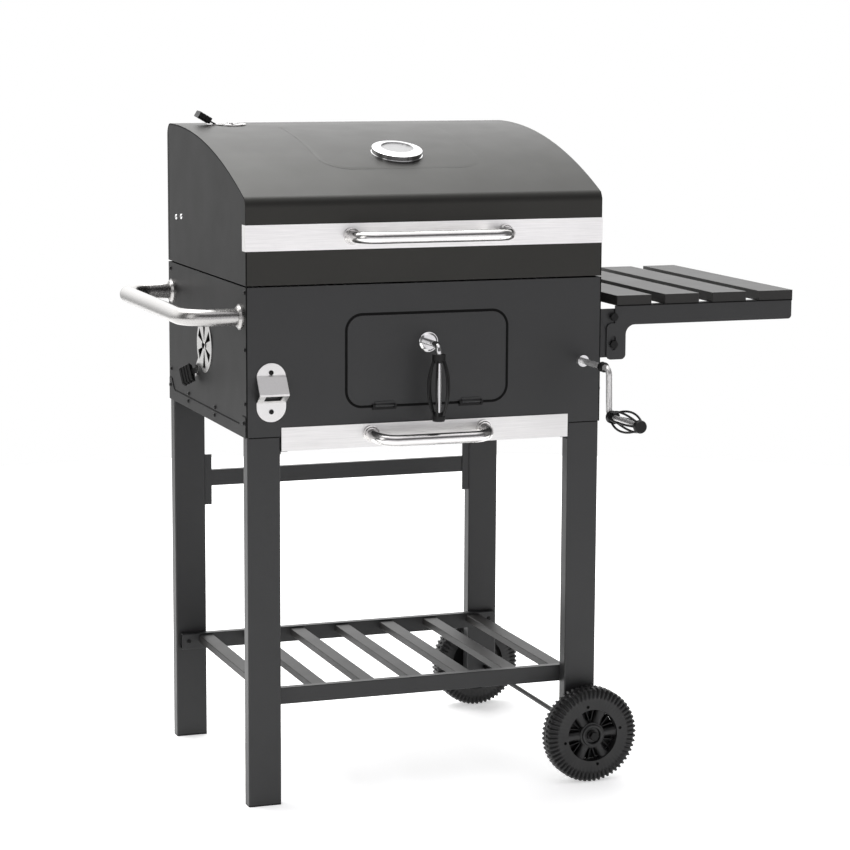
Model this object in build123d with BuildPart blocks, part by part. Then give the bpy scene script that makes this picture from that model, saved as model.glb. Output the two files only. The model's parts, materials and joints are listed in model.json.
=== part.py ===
from build123d import *
import os
from math import asin, cos, degrees, radians, sin, sqrt

# A charcoal grill on a two-wheeled cart, in millimetres, +Z up.
# X runs from the push handle to the side table, Y from the front to the back.
# Every place below is measured from the firebox's left side, its front face and the floor.
# The part's origin is on the floor, in the middle of the overall footprint.

# Driving dimensions
BOX_WIDTH = 600.0
BOX_DEPTH = 478.0
BOX_BOTTOM = 598.0
BOX_TOP = 834.0
SHEET = 1.2
GAP = 0.3
RUNNING_FIT = 0.06

LEG_WIDTH = 54.0
LEG_DEPTH = 24.0
LEG_WALL = 1.5
LEG_TOP = 660.0
RIGHT_LEG_BOTTOM = 48.0

LID_BOTTOM = 836.5
LID_TOP = 1070.0
LID_ARC_RADIUS = 1050.0
LID_APEX_Y = 448.0
LID_FRONT_BEND = 18.0
LID_BACK_BEND = 20.0
TRIM_BOTTOM = 890.0
TRIM_TOP = 931.0
TRIM_SHEET = 0.8

NOTCH_LEFT = 56.0
NOTCH_TOP = 612.4
DRAWER_BOTTOM = 574.7
DOOR_LEFT = 164.0
DOOR_RIGHT = 436.0
DOOR_BOTTOM = 639.4
DOOR_TOP = 786.3
DOOR_CORNER = 26.0
DOOR_GAP = 2.0
LATCH_X = 301.0
LATCH_Z = 739.0
LATCH_REACH = 50.0

CRANK_X = 569.0
CRANK_Z = 698.0
CRANK_REACH = 107.0
CRANK_ARM = 76.0
CRANK_TILT = 1.0
ROD_RADIUS = 5.0
PINION_RADIUS = 15.0
TOOTH_PITCH = 9.425
GRIP_LENGTH = 120.0

HANDLE_RADIUS = 9.2
PUSH_HANDLE_RADIUS = 13.5
PUSH_HANDLE_REACH = 89.0
PUSH_HANDLE_Z = 786.0

VENT_RADIUS = 45.0
VENT_Y = 243.8
VENT_Z = 716.0
LID_VENT_RADIUS = 26.0
LID_VENT_X = 90.0
LID_VENT_Y = 400.0
THERMOMETER_X = 302.0
THERMOMETER_Y = 158.0

WHEEL_RADIUS = 79.0
WHEEL_WIDTH = 36.0
WHEEL_GAP = 8.0
AXLE_X = 578.0
AXLE_RADIUS = 4.0
NUT_DEPTH = 6.5

SHELF_TOP = 185.5
SLAT_PITCH = 83.0
SLAT_WIDTH = 25.0

PLANK_LEFT = 632.5
PLANK_PITCH = 86.2
PLANK_WIDTH = 62.0
PLANK_FRONT = 8.0
PLANK_BACK = 476.0
TABLE_TOP = 801.5
PLANK_DEPTH = 16.5
TABLE_PIVOT_X = 627.4
TABLE_PIVOT_Z = 721.4
TABLE_STOP_Z = 766.8
ARM_SHEET = 2.5

# Worked out from the driving dimensions
TABLE_RIGHT = PLANK_LEFT + 3 * PLANK_PITCH + PLANK_WIDTH
HANDLE_LEFT = -PUSH_HANDLE_REACH - PUSH_HANDLE_RADIUS
WHEEL_BACK = BOX_DEPTH + WHEEL_GAP + WHEEL_WIDTH
HUB_BACK = WHEEL_BACK + 1
AXLE_BACK = HUB_BACK + 0.5 + NUT_DEPTH
CRANK_FRONT = -CRANK_REACH - GRIP_LENGTH - 4
FOOTPRINT_X = (HANDLE_LEFT + TABLE_RIGHT) / 2
FOOTPRINT_Y = (CRANK_FRONT + AXLE_BACK) / 2
LID_ARC_Z = LID_TOP - LID_ARC_RADIUS
LID_CREASE = LID_ARC_Z + sqrt(LID_ARC_RADIUS**2 - LID_APEX_Y**2)
LID_SLOPE = degrees(asin(LID_APEX_Y / LID_ARC_RADIUS))

os.makedirs("parts", exist_ok=True)


# Places and planes, measured from the firebox
def at(x, y, z):
    return Vector(x - FOOTPRINT_X, y - FOOTPRINT_Y, z)


def front_plane(x, y, z):
    """A plane that faces the front: sketch X is right, sketch Y is up."""
    return Plane(origin=at(x, y, z), x_dir=(1, 0, 0), z_dir=(0, -1, 0))


def side_plane(x, y, z):
    """A plane that faces right: sketch X runs to the back, sketch Y is up."""
    return Plane(origin=at(x, y, z), x_dir=(0, 1, 0), z_dir=(1, 0, 0))


def level_plane(x, y, z):
    return Plane(origin=at(x, y, z), x_dir=(1, 0, 0), z_dir=(0, 0, 1))


def lid_plane(x, y, lift=0.0):
    """A plane on the lid's curved top that faces straight out of it."""
    tilt = asin((LID_APEX_Y - y) / LID_ARC_RADIUS)
    reach = LID_ARC_RADIUS + lift
    spot = at(x, LID_APEX_Y - reach * sin(tilt), LID_ARC_Z + reach * cos(tilt))
    return Plane(origin=spot, x_dir=(1, 0, 0), z_dir=(0, -sin(tilt), cos(tilt)))


# Shapes that repeat. Each one adds to the part that is being built.
def block(x, y, z, mode=Mode.ADD):
    """A rectangular bar, given by its low and high X, Y and Z."""
    with BuildSketch(level_plane(sum(x) / 2, sum(y) / 2, z[0])) as foot:
        Rectangle(x[1] - x[0], y[1] - y[0])
    extrude(foot.sketch, amount=z[1] - z[0], mode=mode)


def disc(plane, radius, depth, mode=Mode.ADD, taper=0.0):
    with BuildSketch(plane) as outline:
        Circle(radius)
    extrude(outline.sketch, amount=depth, mode=mode, taper=taper)


def hexagon(plane, across_flats, depth):
    with BuildSketch(plane) as outline:
        RegularPolygon(across_flats / 2, 6, major_radius=False)
    extrude(outline.sketch, amount=depth)


def screw(plane, radius=3.6, height=2.4):
    """A pan head with a straight drive slot."""
    disc(plane, radius, height, taper=18)
    with BuildSketch(plane.offset(height)) as drive:
        Rectangle(radius * 1.2, 0.9)
    extrude(drive.sketch, amount=-1.0, mode=Mode.SUBTRACT)


def tube(points, bend, radius, wall=None):
    """A round tube, or a solid rod where no wall is given, with one bend radius."""
    route = [at(*point) for point in points]
    with BuildLine() as path:
        FilletPolyline(*route, radius=bend)
    with BuildSketch(Plane(origin=route[0], z_dir=route[1] - route[0])) as ring:
        Circle(radius)
        if wall:
            Circle(radius - wall, mode=Mode.SUBTRACT)
    sweep(ring.sketch, path=path.line)


def box_tube(x, y, z, wall, axis):
    """A rectangular tube along X or Y, given by its low and high X, Y and Z."""
    if axis == Axis.X:
        plane = side_plane(x[0], sum(y) / 2, sum(z) / 2)
        width, length = y[1] - y[0], x[1] - x[0]
    else:
        plane = front_plane(sum(x) / 2, y[1], sum(z) / 2)
        width, length = x[1] - x[0], y[1] - y[0]
    with BuildSketch(plane) as ring:
        RectangleRounded(width, z[1] - z[0], wall)
        Rectangle(width - 2 * wall, z[1] - z[0] - 2 * wall, mode=Mode.SUBTRACT)
    extrude(ring.sketch, amount=length)


def bar_handle(x, y, z, reach, drop=0.0):
    """A grab bar in front of a panel, drop lower than the round flange at each of its ends."""
    low = z - drop
    corners = [(x[0], y, z), (x[0], y - reach, low), (x[1], y - reach, low), (x[1], y, z)]
    tube(corners, 34, HANDLE_RADIUS, wall=1.2)
    block((x[0] - 20, x[1] + 20), (y, y + 5), (z - 20, z + 20), mode=Mode.SUBTRACT)
    for end in x:
        plane = front_plane(end, y, z)
        disc(plane, 13.5, 3.2)
        disc(plane.offset(3.2), 12, 2.5, taper=30)


def cage_grip(plane, length, widest):
    """Six bowed ribs between two collars, along the plane's normal, round a rod."""
    disc(plane, 10.5, 10)
    disc(plane.offset(10), 8.5, 4, taper=20)
    disc(plane.offset(length - 14), 8, 6, taper=-15)
    disc(plane.offset(length - 8), 10.4, 6)
    disc(plane.offset(length - 2), 10.4, 2, taper=30)
    for turn in range(6):
        angle = radians(60 * turn)
        out = plane.x_dir * cos(angle) + plane.y_dir * sin(angle)

        def on_rib(radius, height):
            return plane.origin + out * radius + plane.z_dir * height

        low, middle, high = on_rib(8, 8), on_rib(widest - 1.8, length * 0.52), on_rib(7.5, length - 7)
        with BuildLine() as rib:
            ThreePointArc(low, middle, high)
        with BuildSketch(Plane(origin=low, z_dir=rib.line % 0)) as section:
            Circle(1.8)
        sweep(section.sketch, path=rib.line)
    disc(plane.offset(-1), ROD_RADIUS, length - 3, mode=Mode.SUBTRACT)


def lid_outline(inset=0.0):
    """The lid's profile seen from its left side, with its walls moved in by inset."""
    with BuildSketch(side_plane(0, 0, 0)) as profile:
        with BuildLine():
            start = Line((0, LID_BOTTOM), (0, LID_CREASE))
            top = CenterArc((LID_APEX_Y, LID_ARC_Z), LID_ARC_RADIUS, 90 + LID_SLOPE, -LID_SLOPE)
            Polyline(top @ 1, (BOX_DEPTH, LID_TOP), (BOX_DEPTH, LID_BOTTOM), start @ 0)
        make_face()
        crease = profile.vertices().sort_by_distance((0, LID_CREASE))[0]
        fillet(crease, LID_FRONT_BEND)
        corner = profile.vertices().sort_by_distance((BOX_DEPTH, LID_TOP))[0]
        fillet(corner, LID_BACK_BEND)
        if inset:
            offset(amount=-inset, mode=Mode.REPLACE)
            with Locations((BOX_DEPTH / 2, LID_BOTTOM + inset)):
                Rectangle(BOX_DEPTH - 2 * inset, 2 * inset)
    return profile.sketch


# Legs and their feet
def leg(label, x, y, bottom):
    """A rectangular tube leg whose outer corner stands just inside the firebox's corner."""
    middle_x = x + LEG_WIDTH / 2
    with BuildPart() as part:
        with BuildSketch(level_plane(middle_x, y + LEG_DEPTH / 2, bottom)):
            RectangleRounded(LEG_WIDTH, LEG_DEPTH, 2.5)
            Rectangle(LEG_WIDTH - 2 * LEG_WALL, LEG_DEPTH - 2 * LEG_WALL, mode=Mode.SUBTRACT)
        extrude(amount=LEG_TOP - bottom)
        if bottom == RIGHT_LEG_BOTTOM:
            axle_hole = front_plane(AXLE_X, y + LEG_DEPTH + 1, WHEEL_RADIUS)
            disc(axle_hole, AXLE_RADIUS + 0.1, LEG_DEPTH + 2, mode=Mode.SUBTRACT)
    part.part.label = label
    return part


FOOT_DEPTH = 2.5
LEG_LEFT_X = SHEET
LEG_RIGHT_X = BOX_WIDTH - SHEET - LEG_WIDTH
LEG_FRONT_Y = SHEET
LEG_BACK_Y = BOX_DEPTH - SHEET - LEG_DEPTH
LEG_INNER_LEFT = LEG_LEFT_X + LEG_WIDTH
LEG_INNER_RIGHT = LEG_RIGHT_X
LEG_INNER_FRONT = LEG_FRONT_Y + LEG_DEPTH
LEG_INNER_BACK = LEG_BACK_Y

leg_front_left = leg("leg_front_left", LEG_LEFT_X, LEG_FRONT_Y, FOOT_DEPTH)
leg_back_left = leg("leg_back_left", LEG_LEFT_X, LEG_BACK_Y, FOOT_DEPTH)
leg_front_right = leg("leg_front_right", LEG_RIGHT_X, LEG_FRONT_Y, RIGHT_LEG_BOTTOM)
leg_back_right = leg("leg_back_right", LEG_RIGHT_X, LEG_BACK_Y, RIGHT_LEG_BOTTOM)

with BuildPart() as foot_caps:
    for foot_y in (LEG_FRONT_Y, LEG_BACK_Y):
        middle = (LEG_LEFT_X + LEG_WIDTH / 2, foot_y + LEG_DEPTH / 2)
        with BuildSketch(level_plane(*middle, 0)):
            RectangleRounded(LEG_WIDTH, LEG_DEPTH, 2.5)
        extrude(amount=FOOT_DEPTH)
        with BuildSketch(level_plane(*middle, FOOT_DEPTH)):
            Rectangle(LEG_WIDTH - 2 * LEG_WALL - 0.2, LEG_DEPTH - 2 * LEG_WALL - 0.2)
        extrude(amount=12)
foot_caps.part.label = "foot_caps"

# Brace across the back legs, with an angle welded to each end
BRACE_FRONT = LEG_BACK_Y + 2
with BuildPart() as rear_cross_brace:
    brace_y = (BRACE_FRONT + 2, BRACE_FRONT + 14)
    box_tube((LEG_INNER_LEFT, LEG_INNER_RIGHT), brace_y, (442.5, 470), 1.2, Axis.X)
    for inner, toward in ((LEG_INNER_LEFT, 1), (LEG_INNER_RIGHT, -1)):
        web = sorted((inner, inner + 2 * toward))
        flange = sorted((inner, inner + 12 * toward))
        block(web, (BRACE_FRONT, BRACE_FRONT + 20), (410, 498))
        block(flange, (BRACE_FRONT, BRACE_FRONT + 2), (410, 498))
rear_cross_brace.part.label = "rear_cross_brace"

# Lower shelf: a rail across each pair of legs, and seven slats between the rails
RAIL_DEPTH = 14.0
RAIL_BOTTOM = SHELF_TOP - 27
RAIL_X = (8.0, BOX_WIDTH - 8.0)
SLAT_Y = (LEG_INNER_FRONT + RAIL_DEPTH, LEG_INNER_BACK - RAIL_DEPTH)
SLAT_Z = (SHELF_TOP - 15.5, SHELF_TOP - 3.5)

with BuildPart() as shelf_front_rail:
    box_tube(RAIL_X, (LEG_INNER_FRONT, SLAT_Y[0]), (RAIL_BOTTOM, SHELF_TOP), 1.2, Axis.X)
shelf_front_rail.part.label = "shelf_front_rail"

with BuildPart() as shelf_back_rail:
    box_tube(RAIL_X, (SLAT_Y[1], LEG_INNER_BACK), (RAIL_BOTTOM, SHELF_TOP), 1.2, Axis.X)
shelf_back_rail.part.label = "shelf_back_rail"

with BuildPart() as shelf_slats:
    for step in range(-3, 4):
        slat_x = BOX_WIDTH / 2 + step * SLAT_PITCH
        slat_span = (slat_x - SLAT_WIDTH / 2, slat_x + SLAT_WIDTH / 2)
        box_tube(slat_span, SLAT_Y, SLAT_Z, 1.2, Axis.Y)
shelf_slats.part.label = "shelf_slats"

# Axle through the right legs, with a nut at each end
AXLE_FRONT = BOX_DEPTH - AXLE_BACK
with BuildPart() as axle:
    disc(front_plane(AXLE_X, AXLE_BACK, WHEEL_RADIUS), AXLE_RADIUS, AXLE_BACK - AXLE_FRONT)
axle.part.label = "axle"

with BuildPart() as axle_nuts:
    for nut_y in (AXLE_FRONT + NUT_DEPTH, AXLE_BACK):
        hexagon(front_plane(AXLE_X, nut_y, WHEEL_RADIUS), 13, NUT_DEPTH)
    bore = front_plane(AXLE_X, AXLE_BACK, WHEEL_RADIUS)
    disc(bore, AXLE_RADIUS, AXLE_BACK - AXLE_FRONT, mode=Mode.SUBTRACT)
axle_nuts.part.label = "axle_nuts"


# Wheels: one moulding each, with a rounded tyre, a spoked web and a hub
def wheel(label, y, toward):
    """A wheel whose outer face is at y and whose hub runs on towards the leg."""
    hub_length = WHEEL_WIDTH + WHEEL_GAP - 0.7
    face = Plane(origin=at(AXLE_X, y, WHEEL_RADIUS), x_dir=(1, 0, 0), z_dir=(0, toward, 0))
    with BuildPart() as part:
        disc(face, WHEEL_RADIUS, WHEEL_WIDTH)
        fillet(part.edges().filter_by(GeomType.CIRCLE), 6)
        disc(face, 50, 12, mode=Mode.SUBTRACT)
        disc(face.offset(WHEEL_WIDTH), 50, -14, mode=Mode.SUBTRACT)
        with BuildSketch(face.offset(11)):
            with PolarLocations(33, 6):
                Trapezoid(24, 24, 72, rotation=90)
        extrude(amount=12, mode=Mode.SUBTRACT)
        disc(face.offset(-1), 15, hub_length + 1)
        disc(face.offset(-2), AXLE_RADIUS + RUNNING_FIT, hub_length + 4, mode=Mode.SUBTRACT)
    part.part.label = label
    return part


wheel_front = wheel("wheel_front", -WHEEL_GAP - WHEEL_WIDTH, 1)
wheel_back = wheel("wheel_back", WHEEL_BACK, -1)


# Firebox panels
def vent_slots(plane, radius, first_angle):
    """Cut six wedge-shaped slots round a vent's centre."""
    with BuildSketch(plane.offset(-4)) as slots:
        with PolarLocations(0, 6, start_angle=first_angle):
            Polygon((radius * 0.2, -1), (radius * 0.84, -radius * 0.19),
                    (radius * 0.84, radius * 0.19), (radius * 0.2, 1), align=None)
    extrude(slots.sketch, amount=8, mode=Mode.SUBTRACT)


VENT_LEVER = (0.74, -0.673)
VENT_STANDOFF = 0.5
TAB_DEPTH = 11.0
VENT_SLOT_ANGLE = 12.3
PIN_BORE = 3.0


def side_vent_plane(left):
    """A side vent's plane: sketch X points along its lever, away from the panel's middle."""
    x = -VENT_STANDOFF if left else BOX_WIDTH + VENT_STANDOFF
    lever = (0, *VENT_LEVER)
    return Plane(origin=at(x, VENT_Y, VENT_Z), x_dir=lever, z_dir=(-1 if left else 1, 0, 0))


lid_vent_plane = Plane(
    origin=lid_plane(LID_VENT_X, LID_VENT_Y, VENT_STANDOFF).origin,
    x_dir=(-1, 0, 0),
    z_dir=lid_plane(LID_VENT_X, LID_VENT_Y).z_dir,
)

with BuildPart() as firebox_front:
    block((0, BOX_WIDTH), (0, SHEET), (BOX_BOTTOM, BOX_TOP))
    notch_x = (NOTCH_LEFT, BOX_WIDTH - NOTCH_LEFT)
    block(notch_x, (-1, SHEET + 1), (BOX_BOTTOM - 1, NOTCH_TOP), mode=Mode.SUBTRACT)
    door_middle = ((DOOR_LEFT + DOOR_RIGHT) / 2, (DOOR_BOTTOM + DOOR_TOP) / 2)
    door_size = (DOOR_RIGHT - DOOR_LEFT, DOOR_TOP - DOOR_BOTTOM)
    with BuildSketch(front_plane(door_middle[0], SHEET, door_middle[1])):
        RectangleRounded(*door_size, DOOR_CORNER)
    extrude(amount=SHEET, mode=Mode.SUBTRACT)
    with BuildSketch(front_plane(door_middle[0], 2 * SHEET, door_middle[1])):
        RectangleRounded(door_size[0] + 20, door_size[1] + 20, DOOR_CORNER + 10)
        RectangleRounded(door_size[0] - 20, door_size[1] - 20, DOOR_CORNER - 10, mode=Mode.SUBTRACT)
    extrude(amount=SHEET)
    disc(front_plane(CRANK_X, SHEET + 1, CRANK_Z), 7.1, SHEET + 2, mode=Mode.SUBTRACT)
firebox_front.part.label = "firebox_front"

with BuildPart() as firebox_back:
    block((0, BOX_WIDTH), (BOX_DEPTH - SHEET, BOX_DEPTH), (BOX_BOTTOM, BOX_TOP))
firebox_back.part.label = "firebox_back"


def side_panel(label, left):
    x = (0, SHEET) if left else (BOX_WIDTH - SHEET, BOX_WIDTH)
    with BuildPart() as part:
        block(x, (SHEET, BOX_DEPTH - SHEET), (BOX_BOTTOM, BOX_TOP))
        vent_slots(side_vent_plane(left), VENT_RADIUS, -VENT_SLOT_ANGLE if left else VENT_SLOT_ANGLE)
        disc(side_vent_plane(left).offset(-4), PIN_BORE, 8, mode=Mode.SUBTRACT)
    part.part.label = label
    return part


firebox_left = side_panel("firebox_left", True)
firebox_right = side_panel("firebox_right", False)

FLOOR_Z = (613.6, 614.8)
FLOOR_OPENING_X = (66.0, BOX_WIDTH - 66.0)
FLOOR_OPENING_Y = (30.0, 440.0)
with BuildPart() as firebox_floor:
    block((SHEET, BOX_WIDTH - SHEET), (2 * SHEET, BOX_DEPTH - SHEET), FLOOR_Z)
    cut_z = (FLOOR_Z[0] - 1, FLOOR_Z[1] + 1)
    block(FLOOR_OPENING_X, FLOOR_OPENING_Y, cut_z, mode=Mode.SUBTRACT)
    for cut_x in ((0, LEG_INNER_LEFT), (LEG_INNER_RIGHT, BOX_WIDTH)):
        for cut_y in ((0, LEG_INNER_FRONT), (LEG_INNER_BACK, BOX_DEPTH)):
            block(cut_x, cut_y, cut_z, mode=Mode.SUBTRACT)
firebox_floor.part.label = "firebox_floor"

# Angles inside the front and back panels that hold the cooking grates
LEDGE_TOP = 812.0
with BuildPart() as grate_ledges:
    for wall, inward in ((SHEET, 1), (BOX_DEPTH - SHEET, -1)):
        web = sorted((wall, wall + SHEET * inward))
        flange = sorted((wall, wall + 15 * inward))
        block((4, BOX_WIDTH - 4), web, (LEDGE_TOP - 14, LEDGE_TOP))
        block((4, BOX_WIDTH - 4), flange, (LEDGE_TOP - SHEET, LEDGE_TOP))
grate_ledges.part.label = "grate_ledges"

# Cooking grates: two halves of round bars that rest on the ledges
GRATE_FRAME = 3.0
GRATE_BAR = 2.2
GRATE_Y = (10.0, BOX_DEPTH - 10.0)
GRATE_BARS = 17
with BuildPart() as cooking_grates:
    for grate_x in ((10.0, BOX_WIDTH / 2 - 4), (BOX_WIDTH / 2 + 4, BOX_WIDTH - 10.0)):
        grate_z = LEDGE_TOP + GRATE_FRAME
        for end_y in (GRATE_Y[0] + GRATE_FRAME, GRATE_Y[1] - GRATE_FRAME):
            disc(side_plane(grate_x[0], end_y, grate_z), GRATE_FRAME, grate_x[1] - grate_x[0])
        pitch = (grate_x[1] - grate_x[0] - 2 * GRATE_FRAME) / (GRATE_BARS + 1)
        for step in range(GRATE_BARS + 2):
            radius = GRATE_FRAME if step in (0, GRATE_BARS + 1) else GRATE_BAR
            bar = front_plane(grate_x[0] + GRATE_FRAME + step * pitch, GRATE_Y[1], grate_z)
            disc(bar, radius, GRATE_Y[1] - GRATE_Y[0])
cooking_grates.part.label = "cooking_grates"

# Trims along the bottom of both sides, with raised ends
SKIRT_BOTTOM = 597.0
SKIRT_TOP = 615.0
SKIRT_Y = (3.0, BOX_DEPTH - 3.0)
with BuildPart() as side_skirts:
    for skirt_x in (0, BOX_WIDTH + SHEET):
        with BuildSketch(side_plane(skirt_x, 0, 0)) as skirt:
            with BuildLine():
                Polyline((SKIRT_Y[0], SKIRT_BOTTOM), (SKIRT_Y[1], SKIRT_BOTTOM), (SKIRT_Y[1], 634),
                         (SKIRT_Y[1] - 14, 634), (SKIRT_Y[1] - 32, SKIRT_TOP), (36, SKIRT_TOP),
                         (22, 630), (SKIRT_Y[0], 630), (SKIRT_Y[0], SKIRT_BOTTOM))
            make_face()
            low_bends = [v for v in skirt.vertices() if v.Y == SKIRT_TOP]
            fillet(low_bends, 14)
            high_bends = [v for v in skirt.vertices() if v.Y > 629 and 20 < v.X < SKIRT_Y[1] - 10]
            fillet(high_bends, 5)
        extrude(amount=-SHEET)
side_skirts.part.label = "side_skirts"

# Screws of the sides, the skirts, the shelf rails and the bottle opener
OPENER_X = 40.0
OPENER_SCREWS = (700.0, 638.0)
OPENER_SHEET = 1.5
SIDE_SCREWS = [(7, 826), (7, 736), (7, 651), (464, 823), (464, 650)]
SKIRT_SCREWS = [(349, 609), (184, 609), (12, 620), (466, 622)]
UPPER_SCREWS = [(349, 622), (184, 622)]
with BuildPart() as panel_screws:
    for screw_side in (-1, 1):
        screw_x = 0 if screw_side < 0 else BOX_WIDTH
        for (screw_y, screw_z), lift in (
            [(spot, 0) for spot in SIDE_SCREWS + UPPER_SCREWS] + [(spot, SHEET) for spot in SKIRT_SCREWS]
        ):
            seat = at(screw_x + screw_side * lift, screw_y, screw_z)
            screw(Plane(origin=seat, x_dir=(0, 1, 0), z_dir=(screw_side, 0, 0)))
    for screw_x in (20, BOX_WIDTH - 20):
        screw(front_plane(screw_x, SLAT_Y[1], SHELF_TOP - 13))
    for screw_z in OPENER_SCREWS:
        screw(front_plane(OPENER_X, -OPENER_SHEET, screw_z), radius=4)
panel_screws.part.label = "panel_screws"

# Push handle: one bent tube, with a collar at each end
PUSH_HANDLE_Y = (29.0, 449.0)
with BuildPart() as push_handle:
    tube([(0, PUSH_HANDLE_Y[0], PUSH_HANDLE_Z), (-PUSH_HANDLE_REACH, PUSH_HANDLE_Y[0], PUSH_HANDLE_Z),
          (-PUSH_HANDLE_REACH, PUSH_HANDLE_Y[1], PUSH_HANDLE_Z), (0, PUSH_HANDLE_Y[1], PUSH_HANDLE_Z)],
         46, PUSH_HANDLE_RADIUS, wall=1.5)
    for end_y in PUSH_HANDLE_Y:
        collar = Plane(origin=at(0, end_y, PUSH_HANDLE_Z), x_dir=(0, 1, 0), z_dir=(-1, 0, 0))
        disc(collar, 20.5, 3.5)
        disc(collar.offset(3.5), 18.5, 3.5, taper=32)
push_handle.part.label = "push_handle"

# Bottle opener: one bent strip with round ends and a slot under its lip
OPENER_TOP = 715.0
OPENER_BOTTOM = 622.0
OPENER_WIDTH = 48.0
OPENER_REACH = 21.0
with BuildPart() as bottle_opener:
    with BuildSketch(side_plane(OPENER_X - OPENER_WIDTH / 2, 0, 0)):
        with BuildLine():
            Polyline((-OPENER_SHEET, OPENER_TOP), (-OPENER_SHEET, 696), (-OPENER_REACH, 668),
                     (-OPENER_REACH, 665), (-OPENER_SHEET, 652), (-OPENER_SHEET, OPENER_BOTTOM),
                     (0, OPENER_BOTTOM), (0, 653), (-OPENER_REACH + 2.4, 666.4),
                     (-OPENER_REACH + 2.4, 667.4), (0, 697), (0, OPENER_TOP),
                     (-OPENER_SHEET, OPENER_TOP))
        make_face()
    extrude(amount=OPENER_WIDTH)
    with BuildSketch(front_plane(OPENER_X, 1, (OPENER_TOP + OPENER_BOTTOM) / 2)):
        SlotOverall(OPENER_TOP - OPENER_BOTTOM, OPENER_WIDTH, rotation=90)
    extrude(amount=OPENER_REACH + 2, mode=Mode.INTERSECT)
    mouth_x = (OPENER_X - 14, OPENER_X + 14)
    block(mouth_x, (-OPENER_REACH - 1, 1), (656, 664.6), mode=Mode.SUBTRACT)
bottle_opener.part.label = "bottle_opener"

# Angle runners between the legs that carry the ash drawer
with BuildPart() as drawer_runners:
    for inner, toward in ((LEG_INNER_LEFT, 1), (LEG_INNER_RIGHT, -1)):
        web = sorted((inner, inner + SHEET * toward))
        flange = sorted((inner, inner + 12 * toward))
        block(web, (3, BOX_DEPTH - 2), (570, FLOOR_Z[0]))
        block(flange, (3, BOX_DEPTH - 2), (DRAWER_BOTTOM - GAP - SHEET, DRAWER_BOTTOM - GAP))
drawer_runners.part.label = "drawer_runners"

# Posts on the floor that keep the charcoal tray level as it rises
TRAY_X = (64.0, 540.0)
TRAY_Y = (40.0, 436.0)
TRAY_Z = (640.0, 690.0)
with BuildPart() as tray_guides:
    for post_y in (80, 396):
        block((TRAY_X[0] - 6, TRAY_X[0] - 0.8), (post_y - 10, post_y + 10), (FLOOR_Z[1], 790))
        block((TRAY_X[1] + 0.8, TRAY_X[1] + 6), (post_y - 10, post_y + 10), (FLOOR_Z[1], 790))
tray_guides.part.label = "tray_guides"

# Side table brackets on the firebox's right side, and the bolts through them
ARM_FRONT_Y = 10.0
ARM_BACK_Y = BOX_DEPTH - 10.0
BRACKET_Z = (700.0, 780.0)
BRACKET_GAP = 0.5
ARM_SIDES = ((ARM_FRONT_Y, 1), (ARM_BACK_Y, -1))
BRACKET_REACH = ARM_SHEET + BRACKET_GAP
with BuildPart() as table_brackets:
    for outer, inward in ARM_SIDES:
        plate = sorted((outer + inward * BRACKET_REACH, outer + inward * (BRACKET_REACH + ARM_SHEET)))
        flange = sorted((outer + inward * BRACKET_REACH, outer + inward * 26))
        block((BOX_WIDTH, TABLE_PIVOT_X + 13), plate, BRACKET_Z)
        block((BOX_WIDTH, BOX_WIDTH + ARM_SHEET), flange, BRACKET_Z)
        for bolt_z in (TABLE_PIVOT_Z, TABLE_STOP_Z):
            bolt_hole = front_plane(TABLE_PIVOT_X, plate[1] + 1, bolt_z)
            disc(bolt_hole, 4.2, ARM_SHEET + 2, mode=Mode.SUBTRACT)
table_brackets.part.label = "table_brackets"

with BuildPart() as table_bolts:
    for outer, inward in ARM_SIDES:
        for bolt_z in (TABLE_PIVOT_Z, TABLE_STOP_Z):
            head = Plane(origin=at(TABLE_PIVOT_X, outer - inward * 5.5, bolt_z),
                         x_dir=(1, 0, 0), z_dir=(0, inward, 0))
            hexagon(head, 12, 5)
            disc(head.offset(5), 4, 16)
            hexagon(head.offset(5.5 + BRACKET_REACH + ARM_SHEET), 12, 5)
table_bolts.part.label = "table_bolts"

# Side table: four planks across two arms
with BuildPart() as table_planks:
    for step in range(4):
        left = PLANK_LEFT + step * PLANK_PITCH
        right = left + PLANK_WIDTH
        block((left, right), (PLANK_FRONT, PLANK_BACK), (TABLE_TOP - PLANK_DEPTH, TABLE_TOP))
        inside_x = (left + SHEET, right - SHEET)
        inside_y = (PLANK_FRONT + SHEET, PLANK_BACK - SHEET)
        inside_z = (TABLE_TOP - PLANK_DEPTH - 1, TABLE_TOP - SHEET)
        block(inside_x, inside_y, inside_z, mode=Mode.SUBTRACT)
table_planks.part.label = "table_planks"

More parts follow.
